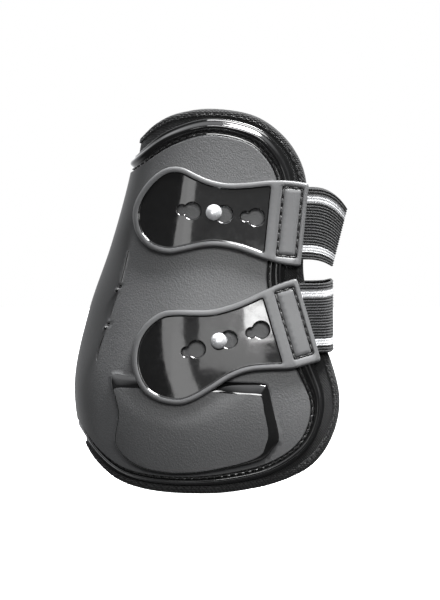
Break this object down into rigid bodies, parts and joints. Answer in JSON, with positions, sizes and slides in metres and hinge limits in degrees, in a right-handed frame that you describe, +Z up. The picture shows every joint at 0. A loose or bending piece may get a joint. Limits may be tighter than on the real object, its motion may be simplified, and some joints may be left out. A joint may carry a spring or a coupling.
{
  "type": "tendon boot",
  "caption": "Moulded horse leg boot with a neoprene lining, closed by elastic straps whose keyhole tabs hook over ball studs.",
  "frame": {"origin": "on the leg's axis, level with the boot's lowest edge", "axes": "+Z up the leg, +X to the front of the leg where the boot opens, -Y to the outer side with the tabs"},
  "size_m": [0.1587, 0.1027, 0.2203],
  "materials": {
    "shell_tpu": "leather-grained matte graphite TPU with polished black rims",
    "tab_tpu": "satin graphite TPU border with a polished black recess",
    "neoprene": "knitted jersey over foam, matte black",
    "binding_tape": "woven tape, matte",
    "elastic_web": "ribbed woven elastic, matte black with two white stripes",
    "thread": "bonded thread, satin",
    "stud_chrome": "polished",
    "stud_steel": "plain"
  },
  "bodies": {
    "boot_pad": {"tpu_shell": "shell_tpu", "neoprene_lining": "neoprene", "edge_binding": "binding_tape", "shell_stitching": "thread", "binding_stitching": "thread", "upper_stud": "stud_chrome", "upper_stud_washer": "stud_steel", "upper_stud_rivet": "stud_steel", "lower_stud": "stud_chrome", "lower_stud_washer": "stud_steel", "lower_stud_rivet": "stud_steel", "upper_anchor_stitching": "thread", "lower_anchor_stitching": "thread"},
    "upper_strap": {"upper_elastic": "elastic_web"},
    "upper_tab_body": {"upper_tab": "tab_tpu", "upper_tab_stitching": "thread"},
    "lower_strap": {"lower_elastic": "elastic_web"},
    "lower_tab_body": {"lower_tab": "tab_tpu", "lower_tab_stitching": "thread"}
  },
  "joints": [
    {"name": "upper_strap_swing", "type": "hinge", "parent": "boot_pad", "child": "upper_strap", "pos_m": [0.049, 0.0385, 0.155], "axis": [0, 0, 1], "range_deg": [0, 105], "deforming": ["upper_elastic"]},
    {"name": "upper_tab_release", "type": "slide", "parent": "upper_strap", "child": "upper_tab_body", "axis": [-0.9878, -0.119, 0.1], "range_m": [0, 0.006], "stiffness_N_per_m": 400, "springref_m": -0.01, "deforming": ["upper_elastic"]},
    {"name": "lower_strap_swing", "type": "hinge", "parent": "boot_pad", "child": "lower_strap", "pos_m": [0.054, 0.0445, 0.098], "axis": [0, 0, 1], "range_deg": [0, 105], "deforming": ["lower_elastic"]},
    {"name": "lower_tab_release", "type": "slide", "parent": "lower_strap", "child": "lower_tab_body", "axis": [-0.9525, -0.1151, -0.2821], "range_m": [0, 0.006], "stiffness_N_per_m": 400, "springref_m": -0.01, "deforming": ["lower_elastic"]}
  ]
}
